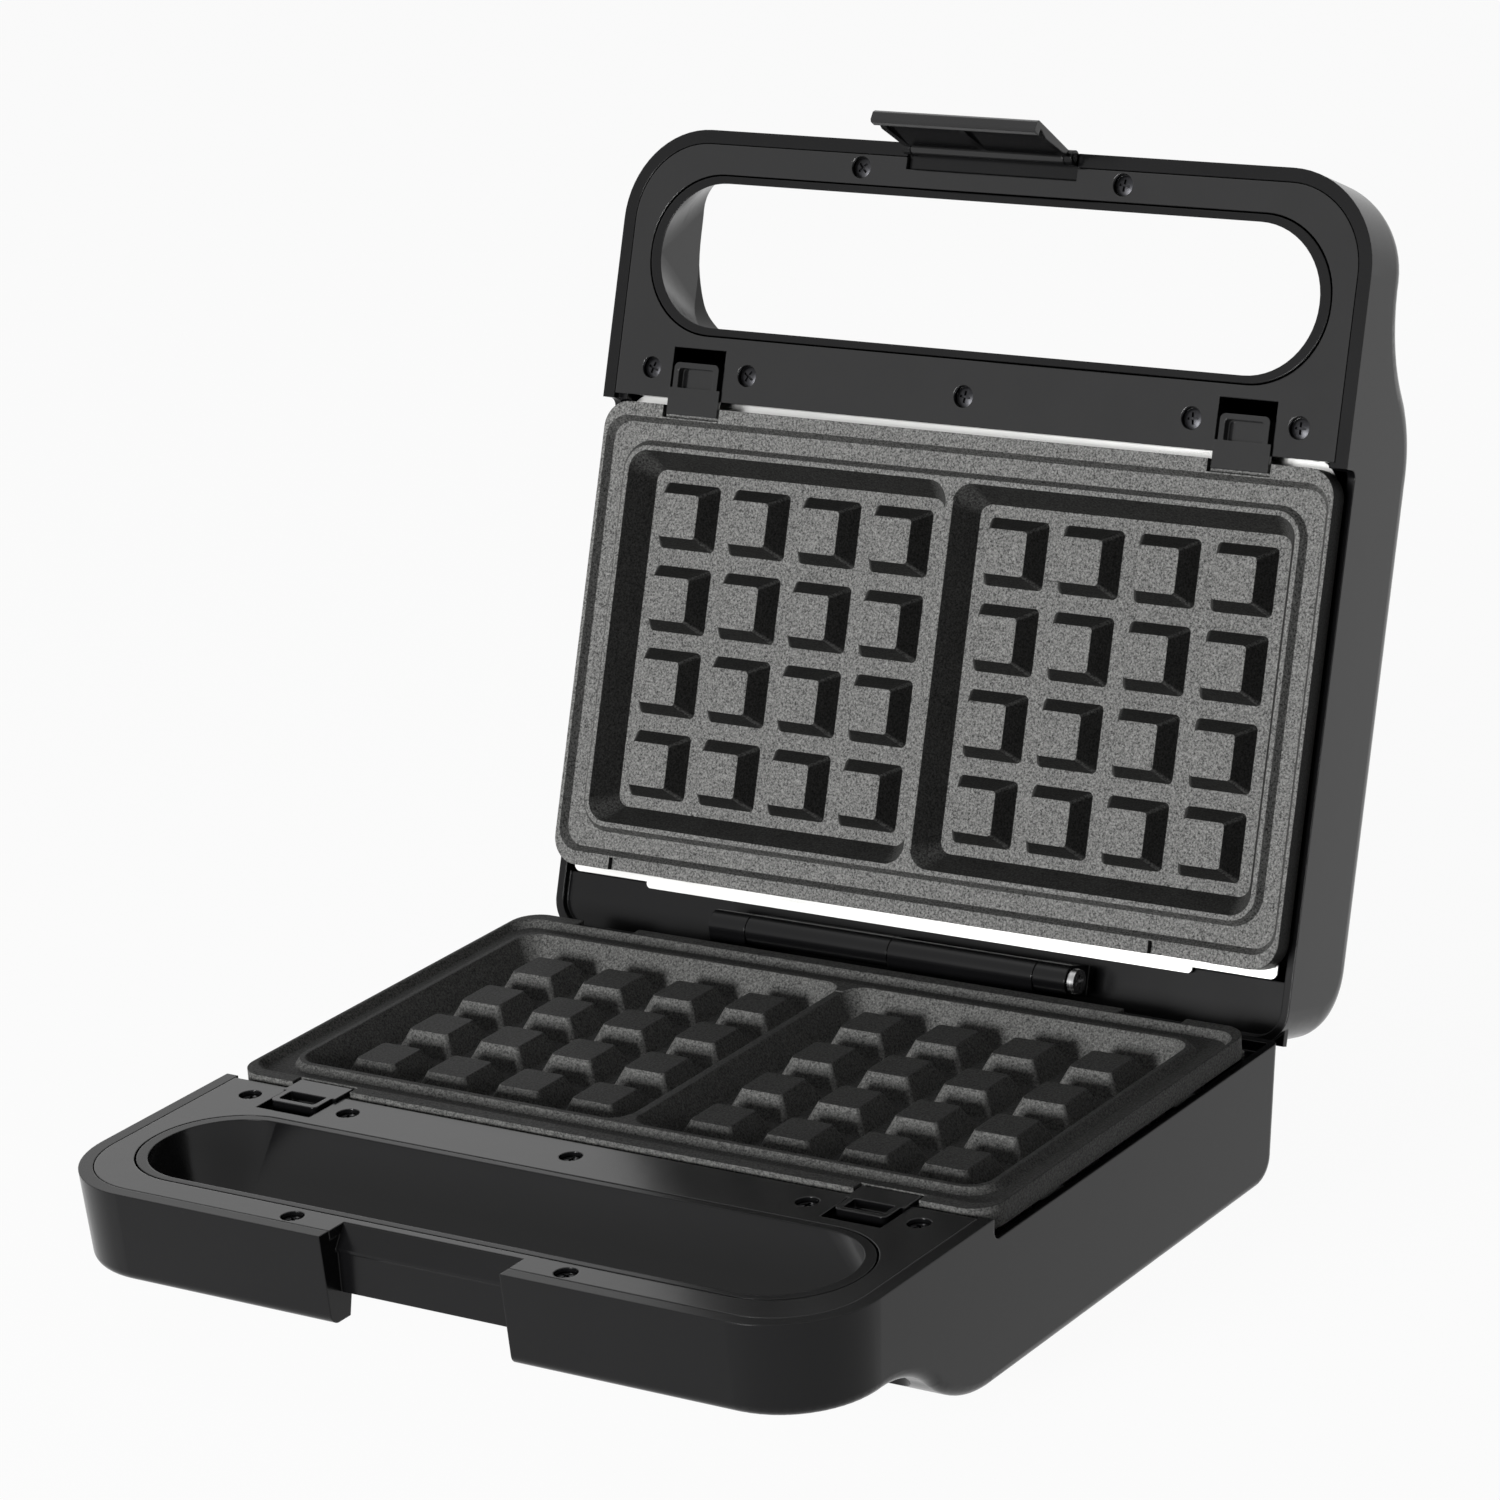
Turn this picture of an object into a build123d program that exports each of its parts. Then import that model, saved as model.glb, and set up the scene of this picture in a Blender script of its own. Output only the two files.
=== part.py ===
from build123d import *
import os
from math import cos, radians, sin, tan

os.makedirs("parts", exist_ok=True)

# A sandwich waffle maker, open, in millimetres and degrees.
# Both halves are drawn in the same half frame: x across, y front to back with the middle of
# the studs at 0, and z = 0 at the stud tops, growing towards the other half.

# Waffle studs
stud_pitch = 24.0
stud_base = 19.0
stud_top = 12.6
stud_height = 6.3
stud_corner = 1.5
stud_count = 4

# Plate outline, outwards from the studs
floor_margin = 3.5
cavity_slope = 4.9
cavity_corner = 6.2
ridge_width = 2.0
ridge_drop = 0.3
lip_height = 1.9
lip_width = 1.4
lip_run = 1.5
band_side = 4.5
band_end = 5.0
rise_run = 1.6
flange_side = 1.1
flange_end = 4.0
flange_height = 2.1
plate_corner = 8.0
plate_thick = 2.4
skirt_height = 6.0
skirt_wall = 1.6
lug_length = 10.0

# Housings
plate_reveal = 2.4
grip_reach = 79.6
front_corner = 27.0
draft = 4.0
wall = 2.4
rim_height = 1.1
step_depth = 5.0
step_round = 2.5
step_gap = 0.6
ring_width = 3.8
ledge_width = 3.0
ledge_thick = 2.6
base_depth = 44.0
base_grip_depth = 24.0
base_edge_round = 3.0
base_rear_round = 8.0
lid_depth = 46.0
lid_grip_depth = 25.0
lid_edge_round = 10.0
lid_rear_round = 20.0
curve_start = 28.0
curve_length = 50.0
base_deck_drop = 8.0
lid_deck_drop = 7.0
deck_thick = 2.0

# Hand slot through each grip
slot_side = 14.3
slot_front = 15.1
slot_depth = 41.5
slot_flare = 4.8
slot_flare_front = 6.1
slot_flare_rear = 2.4
slot_flare_corner = 11.0
tube_lip = 3.2
tube_lip_end = 2.1
tube_wall = 2.1
tube_gap = 0.5

# Grip frames
frame_thick = 2.5
frame_gap = 0.3
frame_corner = 23.0
plate_gap = 2.1
frame_lip = 2.0
screw_pocket = 3.15
screw_head = 2.8
screw_head_height = 1.0
screw_shank = 1.4
screw_length = 9.0
screw_sink = 1.9
boss_radius = 3.4
front_screw_x = 42.5
front_screw_inset = 4.3
outer_screw_x = 105.5
inner_screw_x = 72.5
rear_screw_inset = 8.2

# Hinge
closed_gap = 4.5
open_angle = 109.8
hinge_reach = 10.5
hinge_rise = 3.1
barrel_radius = 4.3
pin_radius = 2.0
pin_fit = 0.03
running_fit = 0.08
knuckle_gap = 0.3
knuckle_ends = (-60.0, -47.5, 0.0, 47.1, 57.5)
base_wall_reach = 1.1
lid_wall_reach = 10.1
arm_reach = 4.0
stop_width = 12.0
stop_height = 6.0

# Lid latch
latch_half = 26.5
latch_axis_out = 1.4
latch_axis_rise = 2.7
latch_barrel = 2.1
latch_pin_radius = 1.0
latch_length = 22.0
latch_thick = 1.8
latch_hook = 1.9
latch_hook_height = 2.5
latch_rib = 1.0
latch_tilt = 18.3
ear_width = 2.4
moving_gap = 0.3
catch_half = 28.0
catch_top = 10.0
catch_lip = 6.0
catch_face = 6.7
catch_height = 16.5

# Release sliders
slider_x = 89.4
slider_travel = 4.0
slider_half = 8.7
slider_ring = 7.6
slider_ring_depth = 9.3
ring_wall = 1.6
ring_corner = 1.6
slider_hook = 2.6
slider_tongue = 10.5

# Trays, elements and electrics
tray_drop = 1.3
tray_thick = 0.8
tray_depth = 14.8
tray_side = 3.1
tray_draft = 6.0
tray_tongue_half = 90.0
tray_tongue = 1.8
element_radius = 3.25
element_side = 30.0
element_end = 14.0
element_corner = 16.0
element_gap = 0.05
lead_x = 14.0
lead_length = 14.0
cradle = 10.0
thermostat_radius = 8.0
thermostat_height = 9.0
lens_radius = 3.5
lens_x = 10.0
lens_y = -50.0
lamp_length = 11.0
foot_height = 3.5
foot_radius = 7.0
foot_x = 98.0
foot_front_y = -56.0
foot_rear_y = 58.0
gland_x = 75.0
gland_drop = 30.0
gland_radius = 8.0
gland_bore = 3.3
wire_radius = 1.1

# Where the hinge axis stands behind the middle of the open cooker
hinge_y = 63.5

# Sizes that follow
floor_half = (stud_count - 1) / 2 * stud_pitch + stud_base / 2 + floor_margin
slice_x = ridge_width / 2 + cavity_slope + floor_half
lip_x = slice_x + floor_half + cavity_slope
lip_y = floor_half + cavity_slope
band_x = lip_x + lip_width + lip_run
band_y = lip_y + lip_width + lip_run
rise_x = band_x + band_side
rise_y = band_y + band_end
plate_x = rise_x + rise_run + flange_side
plate_y = rise_y + rise_run + flange_end
pan_drop = stud_height + plate_thick
skirt_low = flange_height - skirt_height
body_x = plate_x + plate_reveal
front = -(plate_y + grip_reach)
step_y = -(plate_y + step_gap)
frame_rear = -(plate_y + plate_gap)
axis_y = plate_y + hinge_reach
base_rear = axis_y + base_wall_reach
lid_rear = axis_y + lid_wall_reach
lean = tan(radians(draft))
frame_low = rim_height - frame_thick
tray_top = skirt_low - tray_drop
tray_low = tray_top - tray_depth
element_z = -(pan_drop + element_gap + element_radius)
stud_z = foot_height + base_depth

base_at = Plane(origin=(0, hinge_y - axis_y, stud_z), x_dir=(1, 0, 0), z_dir=(0, 0, 1))
turn = radians(open_angle)
axis_z = stud_z + hinge_rise
lid_axis_z = closed_gap - hinge_rise
up_y = -axis_y * cos(turn) + lid_axis_z * sin(turn)
up_z = axis_y * sin(turn) + lid_axis_z * cos(turn)
lid_at = Plane(
    origin=(0, hinge_y + up_y, axis_z + up_z),
    x_dir=(-1, 0, 0),
    z_dir=(0, -sin(turn), -cos(turn)),
)


def across(at, x=0.0):
    """Plane seen along x: its first axis is the half's y, its second the half's z."""
    side = Plane(origin=at.origin, x_dir=at.y_dir, z_dir=at.x_dir)
    return side.offset(x)


def outline(half_x, y_low, y_high, r_front=0.0, r_rear=0.0):
    """Rectangle across the half with rounded front and rear corners."""
    with BuildSketch() as shape:
        with Locations((0, (y_low + y_high) / 2)):
            Rectangle(2 * half_x, y_high - y_low)
        if r_front > 0:
            fillet(shape.vertices().group_by(Axis.Y)[0], r_front)
        if r_rear > 0:
            fillet(shape.vertices().group_by(Axis.Y)[-1], r_rear)
    return shape.sketch


def slab(at, half_x, y_low, y_high, z_low, z_high, r_front=0.0, r_rear=0.0):
    with BuildPart() as piece:
        with BuildSketch(at.offset(z_low)):
            add(outline(half_x, y_low, y_high, r_front, r_rear))
        extrude(amount=z_high - z_low)
    return piece.part


def block(at, x_low, x_high, y_low, y_high, z_low, z_high, corner=0.0):
    with BuildPart() as piece:
        with BuildSketch(at.offset(z_low)) as base:
            with Locations(((x_low + x_high) / 2, (y_low + y_high) / 2)):
                Rectangle(x_high - x_low, y_high - y_low)
            if corner > 0:
                fillet(base.vertices(), corner)
        extrude(amount=z_high - z_low)
    return piece.part


def post(at, spots, radius, z_low, z_high):
    with BuildPart() as piece:
        with BuildSketch(at.offset(z_low)):
            with Locations(*spots):
                Circle(radius)
        extrude(amount=z_high - z_low)
    return piece.part


def funnel(at, upper, lower):
    """Four drafted walls between two rounded outlines (z, half_x, y_low, y_high, r)."""
    with BuildPart() as piece:
        for z, half_x, y_low, y_high, r in (upper, lower):
            with BuildSketch(at.offset(z)):
                add(outline(half_x, y_low, y_high, r, r))
        loft(ruled=True)
    return piece.part


def form(at, rear, depth, grip_depth, rear_round, edge_round, inset=0.0):
    """The moulded outer form of a half: drafted sides, a deep body behind a shallow grip."""
    deep = depth - inset
    shallow = grip_depth - inset
    middle = -(deep + shallow) / 2
    start = front + curve_start
    with BuildPart() as body:
        with BuildSketch(at.offset(rim_height)):
            add(outline(body_x - inset, front + inset, rear - inset, front_corner - inset))
        extrude(amount=-(rim_height + deep), taper=draft)
        with BuildSketch(across(at)):
            with BuildLine():
                Line((front - 20, -shallow), (start, -shallow))
                swell = TangentArc((start, -shallow), (start + curve_length / 2, middle), tangent=(1, 0))
                TangentArc(
                    (start + curve_length / 2, middle), (start + curve_length, -deep), tangent=swell % 1
                )
                foot = rear - inset - lean * (rim_height + deep)
                back = rear - inset
                FilletPolyline(
                    (start + curve_length, -deep), (foot, -deep), (back, rim_height),
                    radius=rear_round - inset,
                )
                Polyline((back, rim_height), (front - 20, rim_height), (front - 20, -shallow))
            make_face()
        extrude(amount=body_x, both=True, mode=Mode.INTERSECT)
        edges = ShapeList()
        for face in body.faces():
            if abs(face.normal_at().dot(at.x_dir)) < 0.9:
                continue
            for edge in face.edges():
                spot = at.to_local_coords(edge @ 0.5)
                upright = abs(edge.tangent_at(0.5).dot(at.z_dir)) > 0.5
                if abs(spot.Z - rim_height) > 0.01 and not (upright and spot.Y < start):
                    edges.append(edge)
        fillet(edges, edge_round - inset)
    return body.part


slot_x = body_x - slot_side
slot_low = front + slot_front
slot_high = slot_low + slot_depth
frame_screws = [
    (-front_screw_x, front + front_screw_inset + ring_width - 0.3),
    (front_screw_x, front + front_screw_inset + ring_width - 0.3),
    (-outer_screw_x, frame_rear - rear_screw_inset),
    (outer_screw_x, frame_rear - rear_screw_inset),
    (-inner_screw_x, frame_rear - rear_screw_inset),
    (inner_screw_x, frame_rear - rear_screw_inset),
    (0, frame_rear - rear_screw_inset),
]


def hand_slot(at, depth, grip_depth, skin=0.0):
    """The hand slot: a flared mouth down to the grip's underside, then straight through."""
    low = -grip_depth - 1
    half_x = slot_x + slot_flare + skin
    y_low = slot_low - slot_flare_front - skin
    y_high = slot_high + slot_flare_rear + skin
    corner = slot_flare_corner + skin
    with BuildPart() as piece:
        if skin > 0:
            lip = slot_depth / 2 + tube_lip_end - 0.2
            mouth = (slot_x + tube_lip, slot_low - tube_lip_end, slot_high + tube_lip_end, lip)
            add(slab(at, mouth[0], mouth[1], mouth[2], frame_low, rim_height, lip, lip))
            add(funnel(at, (frame_low, *mouth), (low, half_x, y_low, y_high, corner)))
        else:
            mouth = (slot_x, slot_low, slot_high, slot_depth / 2 - 0.2)
            add(funnel(at, (rim_height, *mouth), (low, half_x, y_low, y_high, corner)))
        add(slab(at, half_x, y_low, y_high, -depth - 1, low, corner, corner))
    return piece.part


def shell(at, rear, depth, grip_depth, rear_round, edge_round, deck_drop):
    """A housing: thin moulded walls, a rim step round the plate, and a tube for the hand slot."""
    outer = form(at, rear, depth, grip_depth, rear_round, edge_round)
    ledge = ring_width + ledge_width
    with BuildPart() as tube:
        add(hand_slot(at, depth, grip_depth, tube_wall))
        add(post(at, frame_screws, boss_radius, -depth, frame_low))
        add(outer, mode=Mode.INTERSECT)
    with BuildPart() as hollow:
        add(form(at, rear, depth, grip_depth, rear_round, edge_round, inset=wall))
        add(
            slab(at, body_x + 5, front - 5, rear + 5, frame_low - ledge_thick, rim_height + 5),
            mode=Mode.SUBTRACT,
        )
        add(
            slab(at, body_x - ledge, front + ledge, rear, frame_low - ledge_thick, frame_low,
                 front_corner - ledge)
        )
        add(
            slab(at, body_x - ring_width, front + ring_width, rear, frame_low, rim_height + 1,
                 front_corner - ring_width)
        )
    with BuildPart() as housing:
        add(outer)
        add(hollow.part, mode=Mode.SUBTRACT)
        add(tube.part)
        add(hand_slot(at, depth, grip_depth), mode=Mode.SUBTRACT)
        with BuildSketch(across(at)):
            with BuildLine():
                FilletPolyline(
                    (step_y, rim_height + 1), (step_y, -step_depth), (rear + 5, -step_depth),
                    radius=step_round,
                )
                Polyline((rear + 5, -step_depth), (rear + 5, rim_height + 1), (step_y, rim_height + 1))
            make_face()
        extrude(amount=body_x + 5, both=True, mode=Mode.SUBTRACT)
        side = body_x - wall - lean * (rim_height + deck_drop)
        add(
            block(at, -side - 1, side + 1, plate_y + plate_gap + 0.4, rear - 1,
                  -deck_drop - deck_thick, -deck_drop)
        )
        for sign in (-1, 1):
            for y in (-plate_y / 2, plate_y / 2):
                edge = sign * (plate_x - tray_side)
                outside = sign * (body_x - wall / 2 - 0.5)
                add(
                    block(at, min(edge - sign * 2, outside), max(edge - sign * 2, outside), y - 5, y + 5,
                          tray_top - tray_thick - 3, tray_top - tray_thick)
                )
        add(post(at, frame_screws, screw_shank, frame_low - screw_length, frame_low), mode=Mode.SUBTRACT)
    return housing.part


def knuckle(at, x_from, x_to, axis_local_z, deck_drop, reach, bore):
    """A hinge knuckle on its arm, between two distances along the half's x."""
    with BuildPart() as piece:
        with BuildSketch(across(at, x_from)):
            with Locations((axis_y, axis_local_z)):
                Circle(barrel_radius)
            with Locations((axis_y - barrel_radius + (barrel_radius + reach) / 2,
                            (axis_local_z - deck_drop - 0.5) / 2)):
                Rectangle(barrel_radius + reach, axis_local_z + deck_drop + 0.5)
            with Locations((axis_y, axis_local_z)):
                Circle(bore, mode=Mode.SUBTRACT)
        extrude(amount=x_to - x_from)
    return piece.part


def grip_frame(at, front_cut):
    """The flat frame round the hand slot, with its screw recesses and slider pockets."""
    inset = ring_width + frame_gap
    lip = tube_lip + tube_gap
    with BuildPart() as frame:
        add(slab(at, body_x - inset, front + inset, frame_rear, frame_low, rim_height, frame_corner))
        add(
            slab(at, slot_x + lip, slot_low - tube_lip_end - tube_gap, slot_high + tube_lip_end + tube_gap,
                 frame_low, rim_height, slot_depth / 2 + tube_lip_end, slot_depth / 2 + tube_lip_end),
            mode=Mode.SUBTRACT,
        )
        add(
            block(at, -outer_screw_x - 4, outer_screw_x + 4, frame_rear - frame_lip, frame_rear,
                  tray_top, frame_low)
        )
        for sign in (-1, 1):
            x = sign * slider_x
            add(
                block(at, x - slider_half - moving_gap, x + slider_half + moving_gap,
                      frame_rear - slider_ring_depth - slider_travel - 1.4, frame_rear + 1,
                      frame_low, rim_height + 1),
                mode=Mode.SUBTRACT,
            )
        add(front_cut, mode=Mode.SUBTRACT)
        add(
            post(at, frame_screws, screw_pocket, rim_height - screw_sink, rim_height),
            mode=Mode.SUBTRACT,
        )
        add(post(at, frame_screws, screw_shank, frame_low, rim_height), mode=Mode.SUBTRACT)
    return frame.part


def screws(at, spots, seat):
    """Pan head cross screws seated at one height."""
    with BuildPart() as piece:
        add(post(at, spots, screw_head, seat, seat + screw_head_height))
        add(post(at, spots, screw_shank, seat - screw_length, seat))
        with BuildSketch(at.offset(seat + screw_head_height)):
            with Locations(*spots):
                Rectangle(3.4, 0.7)
                Rectangle(0.7, 3.4)
        extrude(amount=-0.6, mode=Mode.SUBTRACT)
    return piece.part


def waffle_plate(at):
    """A cast plate: stepped flange, sealing lip, two cavities and their pyramid studs."""
    inner_x = plate_x - flange_side
    inner_y = plate_y - flange_end
    with BuildPart() as stud:
        with BuildSketch(at.offset(-stud_height - 0.5)):
            RectangleRounded(stud_base, stud_base, stud_corner)
        extrude(amount=0.5)
        with BuildSketch(at.offset(-stud_height)):
            RectangleRounded(stud_base, stud_base, stud_corner)
        with BuildSketch(at):
            RectangleRounded(stud_top, stud_top, stud_corner * 0.7)
        loft(ruled=True)
    steps = [(i - (stud_count - 1) / 2) * stud_pitch for i in range(stud_count)]
    studs = [
        stud.part.moved(Location(at.x_dir * (sign * slice_x + x) + at.y_dir * y))
        for sign in (-1, 1)
        for x in steps
        for y in steps
    ]
    with BuildPart() as plate:
        add(slab(at, plate_x, -plate_y, plate_y, skirt_low, flange_height, plate_corner, plate_corner))
        add(
            slab(at, plate_x - skirt_wall, -plate_y + skirt_wall, plate_y - skirt_wall, skirt_low,
                 -plate_thick, plate_corner - skirt_wall, plate_corner - skirt_wall),
            mode=Mode.SUBTRACT,
        )
        add(
            funnel(at, (flange_height, inner_x, -inner_y, inner_y, plate_corner - flange_side),
                   (0, rise_x, -rise_y, rise_y, plate_corner - flange_side - 1)),
            mode=Mode.SUBTRACT,
        )
        add(
            funnel(at, (-plate_thick, band_x, -band_y, band_y, cavity_corner + 2),
                   (-pan_drop, lip_x - 1.4, -lip_y + 1.8, lip_y - 1.8, cavity_corner))
        )
        add(
            funnel(at, (lip_height, lip_x + lip_width, -lip_y - lip_width, lip_y + lip_width,
                        cavity_corner + lip_width),
                   (0, band_x, -band_y, band_y, cavity_corner + lip_width + lip_run))
        )
        for sign in (-1, 1):
            middle = at.offset(0)
            middle = Plane(at.from_local_coords(Vector(sign * slice_x, 0, 0)), at.x_dir, at.z_dir)
            add(
                funnel(middle, (lip_height, floor_half + cavity_slope, -lip_y, lip_y, cavity_corner),
                       (-stud_height, floor_half, -floor_half, floor_half, 3.5)),
                mode=Mode.SUBTRACT,
            )
        add(
            block(at, -ridge_width, ridge_width, -lip_y + 5, lip_y - 5, lip_height - ridge_drop,
                  lip_height + 1),
            mode=Mode.SUBTRACT,
        )
        add(studs)
        for sign in (-1, 1):
            for end in (-1, 1):
                x = sign * slider_x
                y = sorted((end * (plate_y - flange_end + 0.4), end * (plate_y + 1)))
                add(
                    block(at, x - slider_half - 1, x + slider_half + 1, y[0], y[1],
                          flange_height - 1.8, flange_height + 1),
                    mode=Mode.SUBTRACT,
                )
                seat = sorted((end * (plate_y - skirt_wall), end * plate_y))
                add(
                    block(at, sign * plate_x / 2 - lug_length / 2, sign * plate_x / 2 + lug_length / 2,
                          seat[0], seat[1], tray_top, skirt_low)
                )
    return plate.part


def reflector_tray(at):
    """A bright pressed tray under the plate, with a flat flange round it."""
    edge_x = plate_x - tray_side
    top_x = edge_x - 3
    top_y = plate_y - 4.6
    low_x = top_x - tray_draft
    low_y = top_y - tray_draft
    with BuildPart() as tray:
        add(
            slab(at, edge_x, frame_rear - 0.8, plate_y + plate_gap, tray_top - tray_thick, tray_top,
                 plate_corner, 2)
        )
        add(
            slab(at, tray_tongue_half, 0, plate_y + plate_gap + tray_tongue, tray_top - tray_thick,
                 tray_top, 0, tray_tongue * 0.8)
        )
        add(
            funnel(at, (tray_top - tray_thick, top_x + 0.8, -top_y - 0.8, top_y + 0.8, 12),
                   (tray_low, low_x + 0.8, -low_y - 0.8, low_y + 0.8, 10))
        )
        add(
            funnel(at, (tray_top, top_x, -top_y, top_y, 11.2),
                   (tray_low + tray_thick, low_x, -low_y, low_y, 9.2)),
            mode=Mode.SUBTRACT,
        )
        add(
            post(at, [(-lead_x, element_y), (lead_x, element_y)], element_radius + 1, tray_low - 1,
                 tray_low + 2),
            mode=Mode.SUBTRACT,
        )
    return tray.part


element_x = lip_x - element_side
element_y = lip_y - element_end


def heating_element(at):
    """A sheathed tube bent round the plate, with both ends turned away from it."""
    with BuildPart() as tube:
        with BuildLine(at.offset(element_z)) as path:
            FilletPolyline(
                (-lead_x, element_y), (-element_x, element_y), (-element_x, -element_y),
                (element_x, -element_y), (element_x, element_y), (lead_x, element_y),
                radius=element_corner,
            )
        with BuildSketch(Plane(origin=path.line @ 0, z_dir=path.line % 0)):
            Circle(element_radius)
        sweep()
        for sign in (-1, 1):
            spot = at.from_local_coords(Vector(sign * lead_x, element_y, element_z))
            add(Solid.make_sphere(element_radius, Plane(spot, at.x_dir, at.z_dir), -90, 90, 360))
            add(post(at, [(sign * lead_x, element_y)], element_radius, element_z - lead_length, element_z))
            add(
                post(at, [(sign * lead_x, element_y)], element_radius / 3, element_z - lead_length - 6,
                     element_z)
            )
    return tube.part


cradle_spots = [(-element_x, 0), (element_x, 0), (0, -element_y)]


def element_clips(at, element):
    """Cradles that carry the element on the tray floor."""
    with BuildPart() as clips:
        for x, y in cradle_spots:
            add(
                block(at, x - cradle / 2, x + cradle / 2, y - cradle / 2, y + cradle / 2,
                      tray_low + tray_thick, element_z)
            )
        add(element, mode=Mode.SUBTRACT)
    return clips.part


def thermostat(at):
    """A disc thermostat with two blade terminals, on the outside of the tray floor."""
    with BuildPart() as piece:
        add(post(at, [(0, 0)], thermostat_radius, tray_low - thermostat_height, tray_low))
        add(block(at, -12, 12, -3.5, 3.5, tray_low - 1.2, tray_low))
        for sign in (-1, 1):
            add(
                block(at, sign * 4 - 0.4, sign * 4 + 0.4, -3, 3, tray_low - thermostat_height - 7,
                      tray_low - thermostat_height)
            )
    return piece.part


def release(at, sign):
    """A spring release: a ring to pull on, a hook over the plate and a tongue under the frame."""
    x = sign * slider_x
    back = frame_rear - 1.1
    ring_low = back - slider_ring_depth
    with BuildPart() as slider:
        add(block(at, x - slider_ring, x + slider_ring, ring_low, back, frame_low + 0.3, rim_height + 0.8,
                  ring_corner))
        add(
            block(at, x - slider_ring + ring_wall, x + slider_ring - ring_wall, ring_low + ring_wall,
                  back - ring_wall, frame_low + 0.8, rim_height + 1, ring_corner - 0.6),
            mode=Mode.SUBTRACT,
        )
        add(
            block(at, x - slider_half, x + slider_half, back, -plate_y + slider_hook, flange_height - 1.5,
                  flange_height - 0.2)
        )
        add(
            block(at, x - slider_half, x + slider_half, back - 2, back, frame_low + 0.3, flange_height - 0.2)
        )
        add(
            block(at, x - slider_ring, x + slider_ring, ring_low + 1, frame_rear - frame_lip - 0.3,
                  frame_low - 0.3, frame_low + 0.3)
        )
        add(
            block(at, x - slider_tongue, x + slider_tongue, ring_low + 1, frame_rear - frame_lip - 0.3,
                  frame_low - 2, frame_low - 0.3)
        )
    return slider.part


def wire(points, bend=5.0):
    """A lead bent through points of the open cooker."""
    with BuildPart() as lead:
        with BuildLine() as path:
            FilletPolyline(*points, radius=bend)
        with BuildSketch(Plane(origin=path.line @ 0, z_dir=path.line % 0)):
            Circle(wire_radius)
        sweep()
    return lead.part


# Latch axis in the lid, and the same line in the base when the lid is shut
latch_y = front + latch_axis_out
shut_z = closed_gap - latch_axis_rise

# Base housing
base_bore = pin_radius + pin_fit
lid_bore = pin_radius + running_fit
with BuildPart() as base_housing:
    add(shell(base_at, base_rear, base_depth, base_grip_depth, base_rear_round, base_edge_round,
              base_deck_drop))
    for x_from, x_to in ((knuckle_ends[0], knuckle_ends[1]), (knuckle_ends[2], knuckle_ends[3])):
        add(
            knuckle(base_at, x_from + knuckle_gap / 2, x_to - knuckle_gap / 2, hinge_rise, base_deck_drop,
                    base_wall_reach, base_bore)
        )
    # Catch for the latch: a thick bar set back in the middle of the grip
    with BuildPart(mode=Mode.PRIVATE) as middle_bar:
        add(block(base_at, -catch_half - wall, catch_half + wall, front, slot_low, -base_grip_depth, frame_low))
        add(form(base_at, base_rear, base_depth, base_grip_depth, base_rear_round, base_edge_round),
            mode=Mode.INTERSECT)
        add(hand_slot(base_at, base_depth, base_grip_depth), mode=Mode.SUBTRACT)
    add(middle_bar.part)
    with BuildSketch(across(base_at)):
        with BuildLine():
            Polyline(
                (front - 5, rim_height + 1), (front + catch_top, rim_height + 1),
                (front + catch_top, rim_height), (front + catch_lip, -4.5), (front + catch_lip, -5.3),
                (front + catch_face, -5.7), (front + catch_face, -catch_height),
                (slot_low + 3, -catch_height), (slot_low + 3, -base_grip_depth - 5),
                (front - 5, -base_grip_depth - 5), close=True,
            )
        make_face()
    extrude(amount=catch_half, both=True, mode=Mode.SUBTRACT)
    with BuildSketch(across(base_at)):
        with BuildLine():
            Polyline(
                (front + catch_top, rim_height), (front + catch_lip, -4.5), (front + catch_top, -4.5),
                close=True,
            )
        make_face()
    extrude(amount=catch_half, both=True)
    # Stops for the open lid, feet holes and the gland's hole
    stop_face = base_rear - lean * (rim_height + step_depth)
    for sign in (-1, 1):
        add(
            block(base_at, sign * slider_x - stop_width / 2, sign * slider_x + stop_width / 2,
                  stop_face - 2, stop_face + 1.5, -step_depth - stop_height - 1, -step_depth - 1)
        )
    foot_spots = [(sx * foot_x, y) for sx in (-1, 1) for y in (foot_front_y, foot_rear_y)]
    add(post(base_at, foot_spots, 2.5, -base_depth - 1, -base_depth + wall + 1), mode=Mode.SUBTRACT)
    with BuildSketch(Plane(base_at.from_local_coords(Vector(0, base_rear + 5, 0)), (1, 0, 0), (0, 1, 0))):
        with Locations((gland_x, gland_drop)):
            Circle(gland_radius - 2)
    extrude(amount=-15, mode=Mode.SUBTRACT)
base_housing.part.label = "base_housing"
export_step(base_housing.part, "parts/base_housing.step")

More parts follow.
